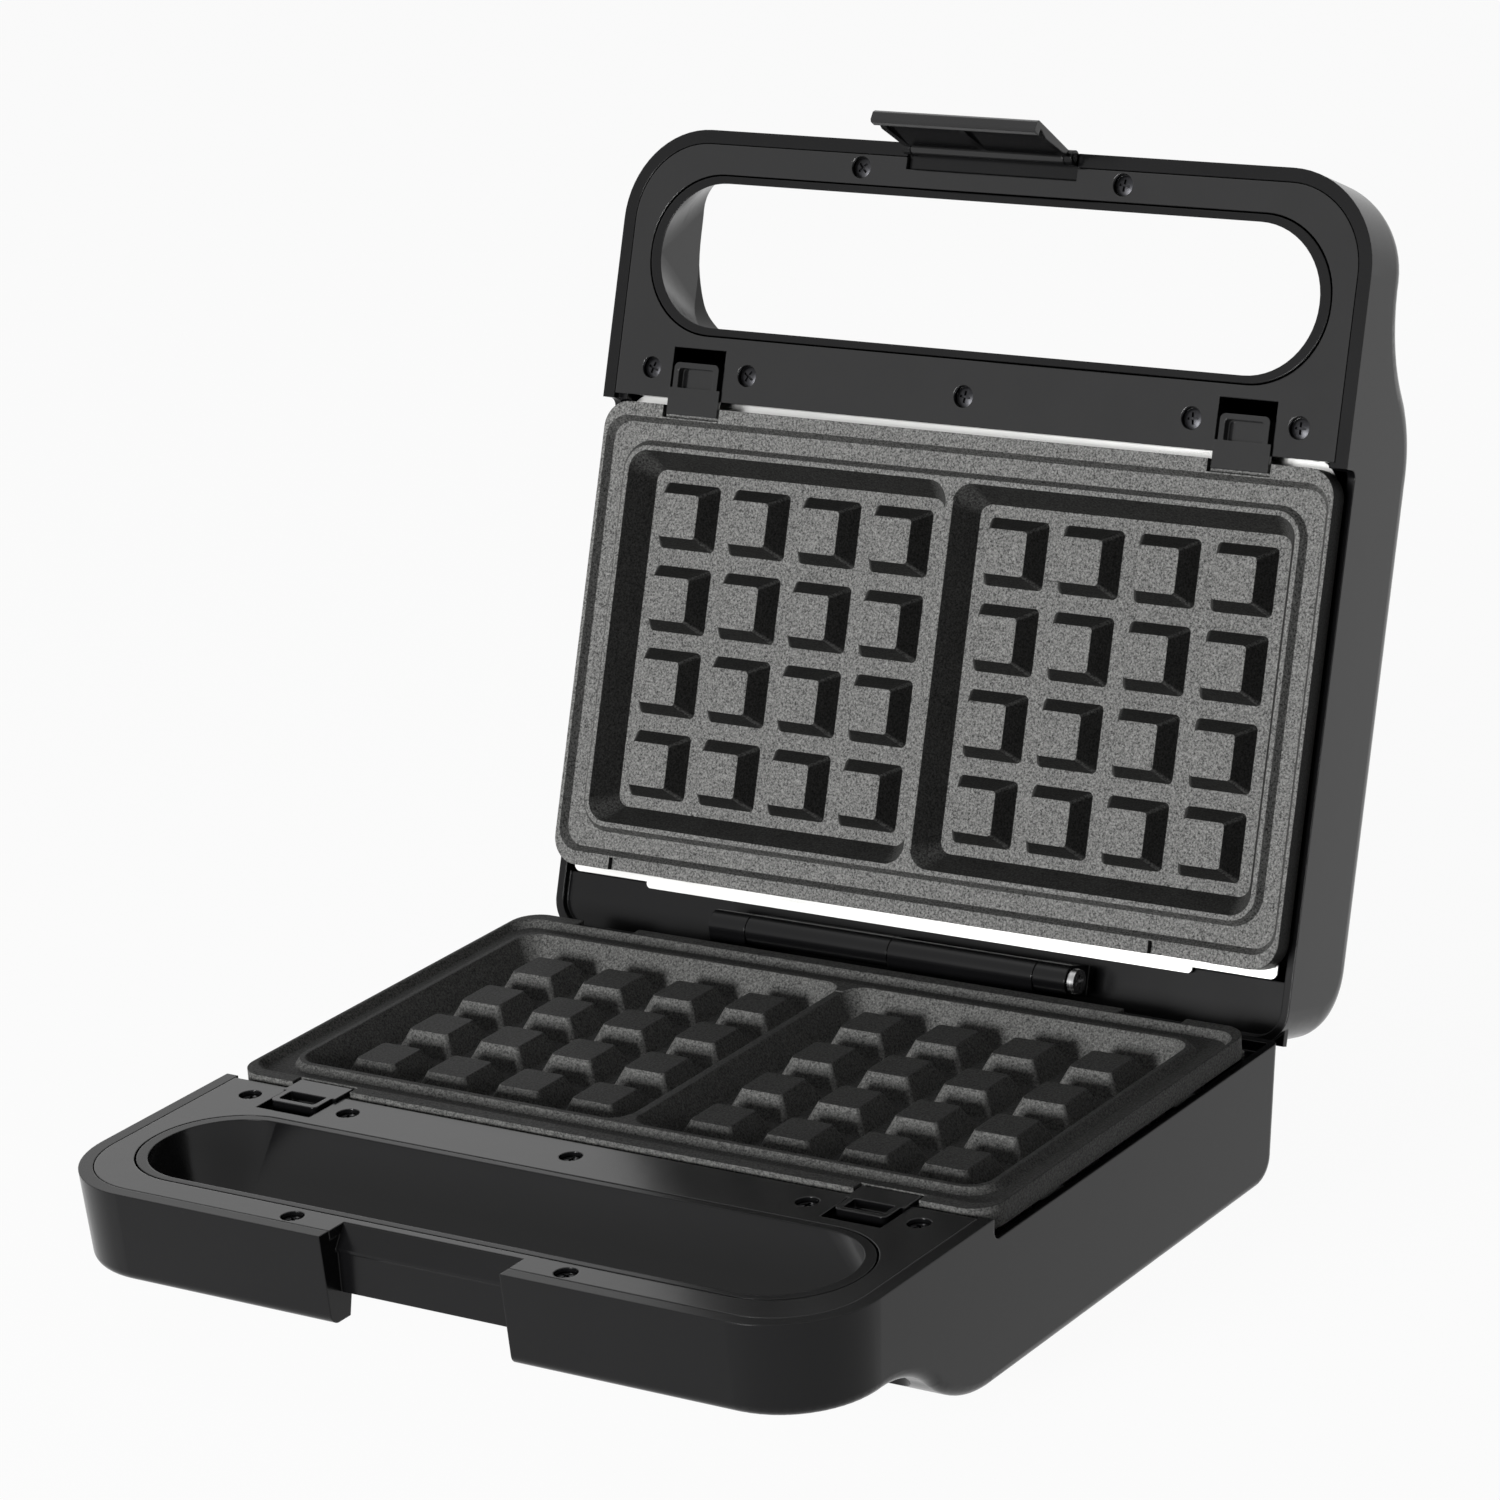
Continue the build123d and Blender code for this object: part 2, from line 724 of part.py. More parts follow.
# Lid housing
with BuildPart() as lid_housing:
    add(shell(lid_at, lid_rear, lid_depth, lid_grip_depth, lid_rear_round, lid_edge_round, lid_deck_drop))
    for x_from, x_to in ((-knuckle_ends[2], -knuckle_ends[1]), (-knuckle_ends[4], -knuckle_ends[3])):
        add(
            knuckle(lid_at, x_from + knuckle_gap / 2, x_to - knuckle_gap / 2, lid_axis_z, lid_deck_drop,
                    arm_reach, lid_bore)
        )
    add(block(lid_at, -latch_half - 3, latch_half + 3, front + 1, front + 10, frame_low - ledge_thick,
              frame_low))
    add(block(lid_at, -latch_half - 0.9, latch_half + 0.9, front + 1, front + 7.2, frame_low,
              rim_height - 1.5))
    add(
        block(lid_at, -latch_half - 1.2, latch_half + 1.2, front - 5, front + 7.5, rim_height - 1.5,
              rim_height + 5),
        mode=Mode.SUBTRACT,
    )
    for sign in (-1, 1):
        inside = sign * (latch_half + 0.9 - ear_width)
        outside = sign * (latch_half + 0.9)
        with BuildSketch(across(lid_at, min(inside, outside))):
            with Locations((latch_y, latch_axis_rise)):
                Circle(latch_barrel)
            with Locations((latch_y + 0.35, (latch_axis_rise + rim_height - 2) / 2)):
                Rectangle(2 * latch_barrel - 0.7, latch_axis_rise - rim_height + 2)
            with Locations((latch_y, latch_axis_rise)):
                Circle(latch_pin_radius + pin_fit, mode=Mode.SUBTRACT)
        extrude(amount=ear_width)
    lens_spots = [(-lens_x, lens_y), (lens_x, lens_y)]
    add(post(lid_at, lens_spots, lens_radius, -lid_depth - 1, -lid_depth + wall + 1), mode=Mode.SUBTRACT)
lid_housing.part.label = "lid_housing"
export_step(lid_housing.part, "parts/lid_housing.step")

# Grip frames
base_cut = block(base_at, -catch_half, catch_half, front, front + catch_top + 0.3, frame_low, rim_height)
with BuildPart() as base_handle_frame:
    add(grip_frame(base_at, base_cut))
base_handle_frame.part.label = "base_handle_frame"
export_step(base_handle_frame.part, "parts/base_handle_frame.step")

lid_cut = block(lid_at, -latch_half - 1.2, latch_half + 1.2, front, front + 7.5, frame_low, rim_height)
with BuildPart() as lid_handle_frame:
    add(grip_frame(lid_at, lid_cut))
lid_handle_frame.part.label = "lid_handle_frame"
export_step(lid_handle_frame.part, "parts/lid_handle_frame.step")

# Frame screws
with BuildPart() as base_frame_screws:
    add(screws(base_at, frame_screws, rim_height - screw_sink))
base_frame_screws.part.label = "base_frame_screws"
export_step(base_frame_screws.part, "parts/base_frame_screws.step")

with BuildPart() as lid_frame_screws:
    add(screws(lid_at, frame_screws, rim_height - screw_sink))
lid_frame_screws.part.label = "lid_frame_screws"
export_step(lid_frame_screws.part, "parts/lid_frame_screws.step")

# Waffle plates
with BuildPart() as lower_waffle_plate:
    add(waffle_plate(base_at))
lower_waffle_plate.part.label = "lower_waffle_plate"
export_step(lower_waffle_plate.part, "parts/lower_waffle_plate.step")

with BuildPart() as upper_waffle_plate:
    add(waffle_plate(lid_at))
upper_waffle_plate.part.label = "upper_waffle_plate"
export_step(upper_waffle_plate.part, "parts/upper_waffle_plate.step")

# Reflector trays
with BuildPart() as lower_reflector_tray:
    add(reflector_tray(base_at))
lower_reflector_tray.part.label = "lower_reflector_tray"
export_step(lower_reflector_tray.part, "parts/lower_reflector_tray.step")

with BuildPart() as upper_reflector_tray:
    add(reflector_tray(lid_at))
upper_reflector_tray.part.label = "upper_reflector_tray"
export_step(upper_reflector_tray.part, "parts/upper_reflector_tray.step")

# Heating elements and their cradles
with BuildPart() as lower_heating_element:
    add(heating_element(base_at))
lower_heating_element.part.label = "lower_heating_element"
export_step(lower_heating_element.part, "parts/lower_heating_element.step")

with BuildPart() as upper_heating_element:
    add(heating_element(lid_at))
upper_heating_element.part.label = "upper_heating_element"
export_step(upper_heating_element.part, "parts/upper_heating_element.step")

with BuildPart() as lower_element_clips:
    add(element_clips(base_at, lower_heating_element.part))
lower_element_clips.part.label = "lower_element_clips"
export_step(lower_element_clips.part, "parts/lower_element_clips.step")

with BuildPart() as upper_element_clips:
    add(element_clips(lid_at, upper_heating_element.part))
upper_element_clips.part.label = "upper_element_clips"
export_step(upper_element_clips.part, "parts/upper_element_clips.step")

# Hinge pin and its end screw
pin_left = knuckle_ends[0] + 1
pin_right = knuckle_ends[4] - knuckle_gap / 2
hinge_line = Plane(origin=(0, hinge_y, axis_z), x_dir=(0, 1, 0), z_dir=(1, 0, 0))
with BuildPart() as hinge_pin:
    with BuildSketch(hinge_line.offset(pin_left)):
        Circle(pin_radius)
    extrude(amount=pin_right - pin_left)
    with BuildSketch(hinge_line.offset(pin_right)):
        Circle(screw_shank)
    extrude(amount=-screw_length, mode=Mode.SUBTRACT)
hinge_pin.part.label = "hinge_pin"
export_step(hinge_pin.part, "parts/hinge_pin.step")

with BuildPart() as hinge_screw:
    with BuildSketch(hinge_line.offset(pin_right + knuckle_gap)):
        Circle(barrel_radius - 0.8)
    extrude(amount=2.0)
    with BuildSketch(hinge_line.offset(pin_right - screw_length + 1)):
        Circle(screw_shank)
    extrude(amount=screw_length)
    with BuildSketch(hinge_line.offset(pin_right + knuckle_gap + 2.0)):
        Rectangle(4.2, 0.9)
        Rectangle(0.9, 4.2)
    extrude(amount=-0.8, mode=Mode.SUBTRACT)
hinge_screw.part.label = "hinge_screw"
export_step(hinge_screw.part, "parts/hinge_screw.step")

# Latch and its pin
latch_spot = lid_at.from_local_coords(Vector(0, latch_y, latch_axis_rise))
swing = radians(latch_tilt)
flap_dir = lid_at.z_dir * cos(swing) - lid_at.y_dir * sin(swing)
flap_at = Plane(origin=latch_spot, x_dir=flap_dir, z_dir=lid_at.x_dir)
barrel_half = latch_half + 0.9 - ear_width - moving_gap
with BuildPart() as lid_latch:
    with BuildSketch(flap_at.offset(-barrel_half)):
        Circle(latch_barrel)
        with Locations(((latch_barrel + 1.5) / 2, 0)):
            Rectangle(latch_barrel + 1.5, latch_thick)
        Circle(latch_pin_radius + running_fit, mode=Mode.SUBTRACT)
    extrude(amount=2 * barrel_half)
    with BuildSketch(flap_at.offset(-latch_half)):
        with BuildLine():
            half = latch_thick / 2
            hook_u = latch_length - latch_hook_height
            Polyline(
                (latch_barrel + 0.5, half), (latch_length - 0.8, half), (latch_length, half - 0.8),
                (latch_length, -half - latch_hook + 0.6), (latch_length - 0.6, -half - latch_hook),
                (hook_u, -half - latch_hook), (hook_u, -half), (latch_barrel + 0.5, -half), close=True,
            )
        make_face()
    extrude(amount=2 * latch_half)
    for x in (-latch_half, -1.0, latch_half - 2.0):
        with BuildSketch(flap_at.offset(x)):
            with BuildLine():
                Polyline(
                    (latch_barrel + 0.6, -half), (hook_u - 4, -half - latch_rib), (hook_u - 1, -half),
                    close=True,
                )
            make_face()
        extrude(amount=2.0)
lid_latch.part.label = "lid_latch"
export_step(lid_latch.part, "parts/lid_latch.step")

with BuildPart() as latch_pin:
    with BuildSketch(flap_at.offset(-latch_half - 0.9)):
        Circle(latch_pin_radius)
    extrude(amount=2 * latch_half + 1.8)
latch_pin.part.label = "latch_pin"
export_step(latch_pin.part, "parts/latch_pin.step")

# Release sliders
with BuildPart() as lower_left_release:
    add(release(base_at, -1))
lower_left_release.part.label = "lower_left_release"
export_step(lower_left_release.part, "parts/lower_left_release.step")

with BuildPart() as lower_right_release:
    add(release(base_at, 1))
lower_right_release.part.label = "lower_right_release"
export_step(lower_right_release.part, "parts/lower_right_release.step")

with BuildPart() as upper_left_release:
    add(release(lid_at, 1))
upper_left_release.part.label = "upper_left_release"
export_step(upper_left_release.part, "parts/upper_left_release.step")

with BuildPart() as upper_right_release:
    add(release(lid_at, -1))
upper_right_release.part.label = "upper_right_release"
export_step(upper_right_release.part, "parts/upper_right_release.step")

# Feet
with BuildPart() as base_feet:
    add(post(base_at, foot_spots, foot_radius, -base_depth - foot_height, -base_depth))
    chamfer(base_feet.faces().sort_by(Axis.Z)[:4].edges(), 0.8)
    add(post(base_at, foot_spots, 2.5, -base_depth, -base_depth + wall))
    add(post(base_at, foot_spots, 3.4, -base_depth + wall, -base_depth + wall + 1.2))
base_feet.part.label = "base_feet"
export_step(base_feet.part, "parts/base_feet.step")

# Cord gland in the rear wall
gland_face = base_rear - lean * (rim_height + gland_drop)
gland_at = Plane(base_at.from_local_coords(Vector(gland_x, gland_face, -gland_drop)), (1, 0, 0), (0, 1, 0))
with BuildPart() as cord_gland:
    with BuildSketch(gland_at.offset(-wall - 3)):
        Circle(gland_radius - 2)
    extrude(amount=wall + 3)
    with BuildSketch(gland_at.offset(0.6)):
        Circle(gland_radius)
    extrude(amount=2.4)
    with BuildSketch(gland_at):
        Circle(gland_radius - 2)
    extrude(amount=1)
    with BuildSketch(gland_at.offset(-wall - 4)):
        Circle(gland_bore)
    extrude(amount=12, mode=Mode.SUBTRACT)
cord_gland.part.label = "cord_gland"
export_step(cord_gland.part, "parts/cord_gland.step")

# Thermostats and thermal fuse
with BuildPart() as base_thermostat:
    add(thermostat(base_at))
base_thermostat.part.label = "base_thermostat"
export_step(base_thermostat.part, "parts/base_thermostat.step")

with BuildPart() as lid_thermostat:
    add(thermostat(lid_at))
lid_thermostat.part.label = "lid_thermostat"
export_step(lid_thermostat.part, "parts/lid_thermostat.step")

with BuildPart() as thermal_fuse:
    add(block(base_at, 26, 44, -3, 3, tray_low - 5, tray_low))
    add(block(base_at, 44, 48, -2, 2, tray_low - 1, tray_low))
thermal_fuse.part.label = "thermal_fuse"
export_step(thermal_fuse.part, "parts/thermal_fuse.step")

# Terminal block on the base floor
block_low = -base_depth + wall
with BuildPart() as terminal_block:
    add(block(base_at, gland_x - 34, gland_x - 10, 30, 44, block_low, block_low + 11))
    with BuildSketch(base_at.offset(block_low + 11)):
        with Locations((gland_x - 28, 37), (gland_x - 16, 37)):
            Circle(2.2)
    extrude(amount=-4, mode=Mode.SUBTRACT)
terminal_block.part.label = "terminal_block"
export_step(terminal_block.part, "parts/terminal_block.step")

# Lamps and lenses
lens_face = -lid_depth
with BuildPart() as power_lens:
    add(post(lid_at, [(-lens_x, lens_y)], lens_radius, lens_face - 0.8, lens_face + wall))
power_lens.part.label = "power_lens"
export_step(power_lens.part, "parts/power_lens.step")

with BuildPart() as ready_lens:
    add(post(lid_at, [(lens_x, lens_y)], lens_radius, lens_face - 0.8, lens_face + wall))
ready_lens.part.label = "ready_lens"
export_step(ready_lens.part, "parts/ready_lens.step")

with BuildPart() as indicator_lamps:
    add(post(lid_at, lens_spots, lens_radius - 0.8, lens_face + wall, lens_face + wall + lamp_length))
indicator_lamps.part.label = "indicator_lamps"
export_step(indicator_lamps.part, "parts/indicator_lamps.step")


def at_base(x, y, z):
    return tuple(base_at.from_local_coords(Vector(x, y, z)))


def at_lid(x, y, z):
    return tuple(lid_at.from_local_coords(Vector(x, y, z)))


# Leads inside the halves
blade = tray_low - thermostat_height - 7
lead_end = element_z - lead_length - 6
with BuildPart() as base_wiring:
    add(
        wire([at_base(gland_x, gland_face - wall - 4, -gland_drop), at_base(gland_x, 56, -gland_drop),
              at_base(gland_x - 22, 56, block_low + 5), at_base(gland_x - 22, 44, block_low + 5)], 4)
    )
    add(
        wire([at_base(gland_x - 34, 37, block_low + 5), at_base(gland_x - 50, 37, block_low + 5),
              at_base(lead_x, element_y, lead_end - 4), at_base(lead_x, element_y, lead_end)], 2)
    )
base_wiring.part.label = "base_wiring"
export_step(base_wiring.part, "parts/base_wiring.step")

with BuildPart() as lid_wiring:
    add(
        wire([at_lid(lens_x, lens_y, lens_face + wall + lamp_length),
              at_lid(lens_x, lens_y, lens_face + wall + lamp_length + 5), at_lid(4, -20, blade - 3),
              at_lid(4, 0, blade - 3), at_lid(4, 0, blade)], 1.5)
    )
    add(
        wire([at_lid(-4, 0, blade), at_lid(-4, 0, blade - 3), at_lid(-lead_x, element_y, lead_end - 4),
              at_lid(-lead_x, element_y, lead_end)], 1.5)
    )
lid_wiring.part.label = "lid_wiring"
export_step(lid_wiring.part, "parts/lid_wiring.step")
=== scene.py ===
# %% [markdown]
# # A sandwich waffle maker, open on a white ground
# The cooker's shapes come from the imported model. Here each of them gets the finish of the
# real piece: gloss black mouldings, coated cast plates, bright pressed trays and small
# steel parts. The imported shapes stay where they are, so this file is about materials,
# light, the camera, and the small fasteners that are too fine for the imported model.

import math

import bmesh
import bpy
from mathutils import Matrix, Vector


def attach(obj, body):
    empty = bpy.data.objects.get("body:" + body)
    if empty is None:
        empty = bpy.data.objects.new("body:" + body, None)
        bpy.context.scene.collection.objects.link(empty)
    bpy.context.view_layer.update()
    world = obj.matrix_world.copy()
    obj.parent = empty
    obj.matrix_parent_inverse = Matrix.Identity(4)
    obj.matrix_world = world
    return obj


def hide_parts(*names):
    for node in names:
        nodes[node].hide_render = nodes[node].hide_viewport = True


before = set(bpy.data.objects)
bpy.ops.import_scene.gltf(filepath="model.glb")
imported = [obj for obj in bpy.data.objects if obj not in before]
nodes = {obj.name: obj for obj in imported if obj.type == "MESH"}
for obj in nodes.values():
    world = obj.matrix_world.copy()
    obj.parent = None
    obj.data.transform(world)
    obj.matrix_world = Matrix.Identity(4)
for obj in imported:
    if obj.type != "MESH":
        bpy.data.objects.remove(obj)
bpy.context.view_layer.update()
scene = bpy.context.scene
print("pieces:", len(nodes))

# %% [markdown]
# ## Camera
# The corners of the studs on both plates fix where the photographer stood: about 1.45 m
# away, to the right of the cooker's front, 18 degrees above it, with a long lens and the
# camera tipped a little. A long lens keeps the far edges of the lid nearly parallel.

# %% Place the camera
view_turn = math.radians(35.13)
view_lift = math.radians(17.98)
view_roll = math.radians(-4.33)
camera_spot = Vector((0.79657, -1.13105, 0.57863))

forward = Vector((-math.sin(view_turn) * math.cos(view_lift),
                  math.cos(view_turn) * math.cos(view_lift),
                  -math.sin(view_lift)))
level_right = Vector((math.cos(view_turn), math.sin(view_turn), 0))
level_up = level_right.cross(forward)
right = level_right * math.cos(view_roll) + level_up * math.sin(view_roll)
up = level_up * math.cos(view_roll) - level_right * math.sin(view_roll)

lens = bpy.data.cameras.new("photo_camera")
lens.lens = 131.8
lens.sensor_width = 36
lens.clip_end = 20
camera = bpy.data.objects.new("photo_camera", lens)
axes = Matrix((right, up, -forward)).transposed().to_4x4()
camera.matrix_world = Matrix.Translation(camera_spot) @ axes
scene.collection.objects.link(camera)
scene.camera = camera
print("camera to cooker, m:", round((camera_spot - Vector((0, 0, 0.12))).length, 3))

# %% [markdown]
# ## Colour and node helpers
# Colours are picked as sRGB hex values, as a paint card gives them, and turned to linear
# light once. One helper adds any node with its settings and links.

# %% Helpers for materials
def colour(hex_value):
    parts = [int(hex_value[i:i + 2], 16) / 255 for i in (1, 3, 5)]
    return tuple(p / 12.92 if p <= 0.04045 else ((p + 0.055) / 1.055) ** 2.4 for p in parts) + (1.0,)


def put(tree, kind, settings=None, links=None):
    node = tree.nodes.new(kind)
    for name, value in (settings or {}).items():
        if name in node.inputs.keys():
            node.inputs[name].default_value = value
        else:
            setattr(node, name, value)
    for name, source in (links or {}).items():
        tree.links.new(source, node.inputs[name])
    return node


def new_material(name):
    material = bpy.data.materials.new(name)
    material.use_nodes = True
    tree = material.node_tree
    tree.nodes.clear()
    return material, tree


def per_mm(size):
    """Texture scale for a pattern whose grains are that many millimetres apart."""
    return 1000.0 / size


# %% [markdown]
# ## Gloss black ABS
# The housings, grip frames, latch and sliders are moulded in black ABS with a polished
# mould. The colour is near black; what the eye sees is the reflection of the white room,
# about as strong as on any plastic. The polish isn't perfect, so a very shallow waviness
# and faint handling haze break up the reflection.

# %% Gloss ABS
def gloss_abs(name, hex_dark, hex_light, rough, wave_mm, level):
    material, tree = new_material(name)
    where = put(tree, "ShaderNodeTexCoord").outputs["Object"]
    haze = put(tree, "ShaderNodeTexNoise",
               {"Scale": per_mm(wave_mm * 3), "Detail": 4.0, "Roughness": 0.6}, {"Vector": where})
    wave = put(tree, "ShaderNodeTexNoise", {"Scale": per_mm(wave_mm), "Detail": 2.0}, {"Vector": where})
    tint = put(tree, "ShaderNodeMix", {"data_type": "RGBA"}, {"Factor": haze.outputs["Fac"]})
    tint.inputs[6].default_value = colour(hex_dark)
    tint.inputs[7].default_value = colour(hex_light)
    gloss = put(tree, "ShaderNodeMapRange", {"To Min": rough - 0.03, "To Max": rough + 0.05},
                {"Value": haze.outputs["Fac"]})
    edge = put(tree, "ShaderNodeBevel", {"samples": 4, "Radius": 0.0005})
    bump = put(tree, "ShaderNodeBump", {"Strength": 0.02, "Distance": 0.001},
               {"Height": wave.outputs["Fac"], "Normal": edge.outputs["Normal"]})
    body = put(tree, "ShaderNodeBsdfPrincipled", {"IOR": 1.46, "Specular IOR Level": level},
               {"Base Color": tint.outputs[2], "Roughness": gloss.outputs["Result"],
                "Normal": bump.outputs["Normal"]})
    put(tree, "ShaderNodeOutputMaterial", None, {"Surface": body.outputs["BSDF"]})
    return material


housing_abs = gloss_abs("gloss_black_abs", "#09090a", "#101011", rough=0.20, wave_mm=14, level=0.24)
trim_abs = gloss_abs("polished_black_abs", "#09090a", "#0f0f10", rough=0.17, wave_mm=10, level=0.56)
print("plastics:", housing_abs.name, trim_abs.name)

# %% [markdown]
# ## Coated cast aluminium
# The plates are cast aluminium under a sprayed non-stick coat: a dark ground packed with
# pale grit about 0.3 mm across, drawn 0.6 mm apart so that it still shows in the picture.
# Both plates share one recipe, with painted light and shade in the colours of their flat and
# steep faces, matched to the photograph: pale flats and dark sides in the lid, the other way
# round in the base. That contrast is the photographer's single front light painted into the
# coat, so under other light the real plates would look more alike than these. The coat is matte and
# reflects little.

# %% Non-stick coating
def non_stick_coating_painted_shading(name, outward, flat_painted_shading, steep_painted_shading):
    material, tree = new_material(name)
    place = put(tree, "ShaderNodeTexCoord")
    where = place.outputs["Object"]
    grit = put(tree, "ShaderNodeTexNoise", {"Scale": per_mm(0.6), "Detail": 2.0, "Roughness": 0.75},
               {"Vector": where})
    broad = put(tree, "ShaderNodeTexNoise", {"Scale": per_mm(40), "Detail": 2.0}, {"Vector": where})
    # Painted light and shade: how square a face is to the plate picks between a flat colour and a steep
    # colour, which stand in for the front light.
    facing_for_painted_shading = put(tree, "ShaderNodeVectorMath", {"operation": "DOT_PRODUCT"})
    tree.links.new(place.outputs["Normal"], facing_for_painted_shading.inputs[0])
    facing_for_painted_shading.inputs[1].default_value = outward
    painted_shading_mask = put(tree, "ShaderNodeMapRange", {"From Min": 0.5, "From Max": 0.85},
                   {"Value": facing_for_painted_shading.outputs["Value"]})
    painted_shading_ramps = []
    for darkest, palest in (steep_painted_shading, flat_painted_shading):
        ramp = put(tree, "ShaderNodeValToRGB", None, {"Fac": grit.outputs["Fac"]})
        low, high = ramp.color_ramp.elements
        low.position, low.color = 0.30, colour(darkest)
        high.position, high.color = 0.72, colour(palest)
        painted_shading_ramps.append(ramp)
    steep_painted, flat_painted = painted_shading_ramps
    coat_colour_painted_shading = put(tree, "ShaderNodeMix", {"data_type": "RGBA"},
                      {"Factor": painted_shading_mask.outputs["Result"]})
    tree.links.new(steep_painted.outputs["Color"], coat_colour_painted_shading.inputs[6])
    tree.links.new(flat_painted.outputs["Color"], coat_colour_painted_shading.inputs[7])
    sheen = put(tree, "ShaderNodeMapRange", {"To Min": 0.50, "To Max": 0.62},
                {"Value": broad.outputs["Fac"]})
    edge = put(tree, "ShaderNodeBevel", {"samples": 4, "Radius": 0.0005})
    bump = put(tree, "ShaderNodeBump", {"Strength": 0.4, "Distance": 0.0002},
               {"Height": grit.outputs["Fac"], "Normal": edge.outputs["Normal"]})
    coat = put(tree, "ShaderNodeBsdfPrincipled", {"IOR": 1.4, "Specular IOR Level": 0.12},
               {"Base Color": coat_colour_painted_shading.outputs[2], "Roughness": sheen.outputs["Result"],
                "Normal": bump.outputs["Normal"]})
    put(tree, "ShaderNodeOutputMaterial", None, {"Surface": coat.outputs["BSDF"]})
    return material


lid_lean = math.radians(109.8)
lid_outward = (0.0, -math.sin(lid_lean), -math.cos(lid_lean))
# The flat and steep colours below are painted light and shade: on the lid, painted light on the flats
# and painted shade on the sides; on the base, painted shade on the flat tops and painted light on the
# sides.
lower_coat_painted_shading = non_stick_coating_painted_shading("non_stick_coat_lower_painted_shading", (0.0, 0.0, 1.0),
                                  flat_painted_shading=("#141414", "#4e4e4d"), steep_painted_shading=("#2a2a2a", "#7e7e7c"))
upper_coat_painted_shading = non_stick_coating_painted_shading("non_stick_coat_upper_painted_shading", lid_outward,
                                  flat_painted_shading=("#2e2e2e", "#9c9c9a"), steep_painted_shading=("#0c0c0c", "#30302f"))
print("coatings:", lower_coat_painted_shading.name, upper_coat_painted_shading.name)

# %% [markdown]
# ## Metals
# The trays are pressed from bright aluminised sheet, which keeps faint rolling lines. The
# pins and screws are steel: the pins ground and bare, the screws blackened. The element
# is a steel sheath, dulled and browned where it has been hot.

# %% Sheet and steel
def worked_metal(name, hex_low, hex_high, rough, line_mm, stretch):
    material, tree = new_material(name)
    where = put(tree, "ShaderNodeTexCoord").outputs["Object"]
    drawn = put(tree, "ShaderNodeMapping", {"Scale": stretch}, {"Vector": where})
    lines = put(tree, "ShaderNodeTexNoise", {"Scale": per_mm(line_mm), "Detail": 3.0},
                {"Vector": drawn.outputs["Vector"]})
    tint = put(tree, "ShaderNodeMix", {"data_type": "RGBA"}, {"Factor": lines.outputs["Fac"]})
    tint.inputs[6].default_value = colour(hex_low)
    tint.inputs[7].default_value = colour(hex_high)
    gloss = put(tree, "ShaderNodeMapRange", {"To Min": rough - 0.06, "To Max": rough + 0.08},
                {"Value": lines.outputs["Fac"]})
    bump = put(tree, "ShaderNodeBump", {"Strength": 0.08, "Distance": 0.0002},
               {"Height": lines.outputs["Fac"]})
    metal = put(tree, "ShaderNodeBsdfPrincipled", {"Metallic": 1.0},
                {"Base Color": tint.outputs[2], "Roughness": gloss.outputs["Result"],
                 "Normal": bump.outputs["Normal"]})
    put(tree, "ShaderNodeOutputMaterial", None, {"Surface": metal.outputs["BSDF"]})
    return material


tray_sheet = worked_metal("aluminised_sheet", "#d6d6d4", "#f2f2f0",
                          rough=0.28, line_mm=1.6, stretch=(0.08, 1, 1))
pin_steel = worked_metal("ground_steel", "#8d8d8e", "#b4b4b4",
                         rough=0.25, line_mm=1.0, stretch=(1, 0.2, 0.2))
screw_steel = worked_metal("blackened_steel", "#202022", "#3a3a3c",
                           rough=0.32, line_mm=1.2, stretch=(1, 1, 1))
sheath_steel = worked_metal("heat_browned_steel", "#4c4540", "#7a736b",
                            rough=0.42, line_mm=9, stretch=(1, 1, 1))
print("metals:", tray_sheet.name, pin_steel.name, screw_steel.name, sheath_steel.name)

# %% [markdown]
# ## Rubber, ceramic, sleeves and lenses
# The feet and gland are moulded rubber, matte and slightly dusty. The terminal block and
# fuse are unglazed ceramic, the leads have glass-fibre sleeves, and the two lamp lenses
# are clear coloured polycarbonate.

# %% Matte and clear finishes
def plain_moulding(name, hex_low, hex_high, rough, grain_mm, clear=0.0, ior=1.5):
    material, tree = new_material(name)
    where = put(tree, "ShaderNodeTexCoord").outputs["Object"]
    grain = put(tree, "ShaderNodeTexNoise", {"Scale": per_mm(grain_mm), "Detail": 3.0},
                {"Vector": where})
    tint = put(tree, "ShaderNodeMix", {"data_type": "RGBA"}, {"Factor": grain.outputs["Fac"]})
    tint.inputs[6].default_value = colour(hex_low)
    tint.inputs[7].default_value = colour(hex_high)
    gloss = put(tree, "ShaderNodeMapRange", {"To Min": rough - 0.04, "To Max": rough + 0.06},
                {"Value": grain.outputs["Fac"]})
    bump = put(tree, "ShaderNodeBump", {"Strength": 0.15, "Distance": 0.0002},
               {"Height": grain.outputs["Fac"]})
    body = put(tree, "ShaderNodeBsdfPrincipled", {"IOR": ior, "Transmission Weight": clear},
               {"Base Color": tint.outputs[2], "Roughness": gloss.outputs["Result"],
                "Normal": bump.outputs["Normal"]})
    put(tree, "ShaderNodeOutputMaterial", None, {"Surface": body.outputs["BSDF"]})
    return material


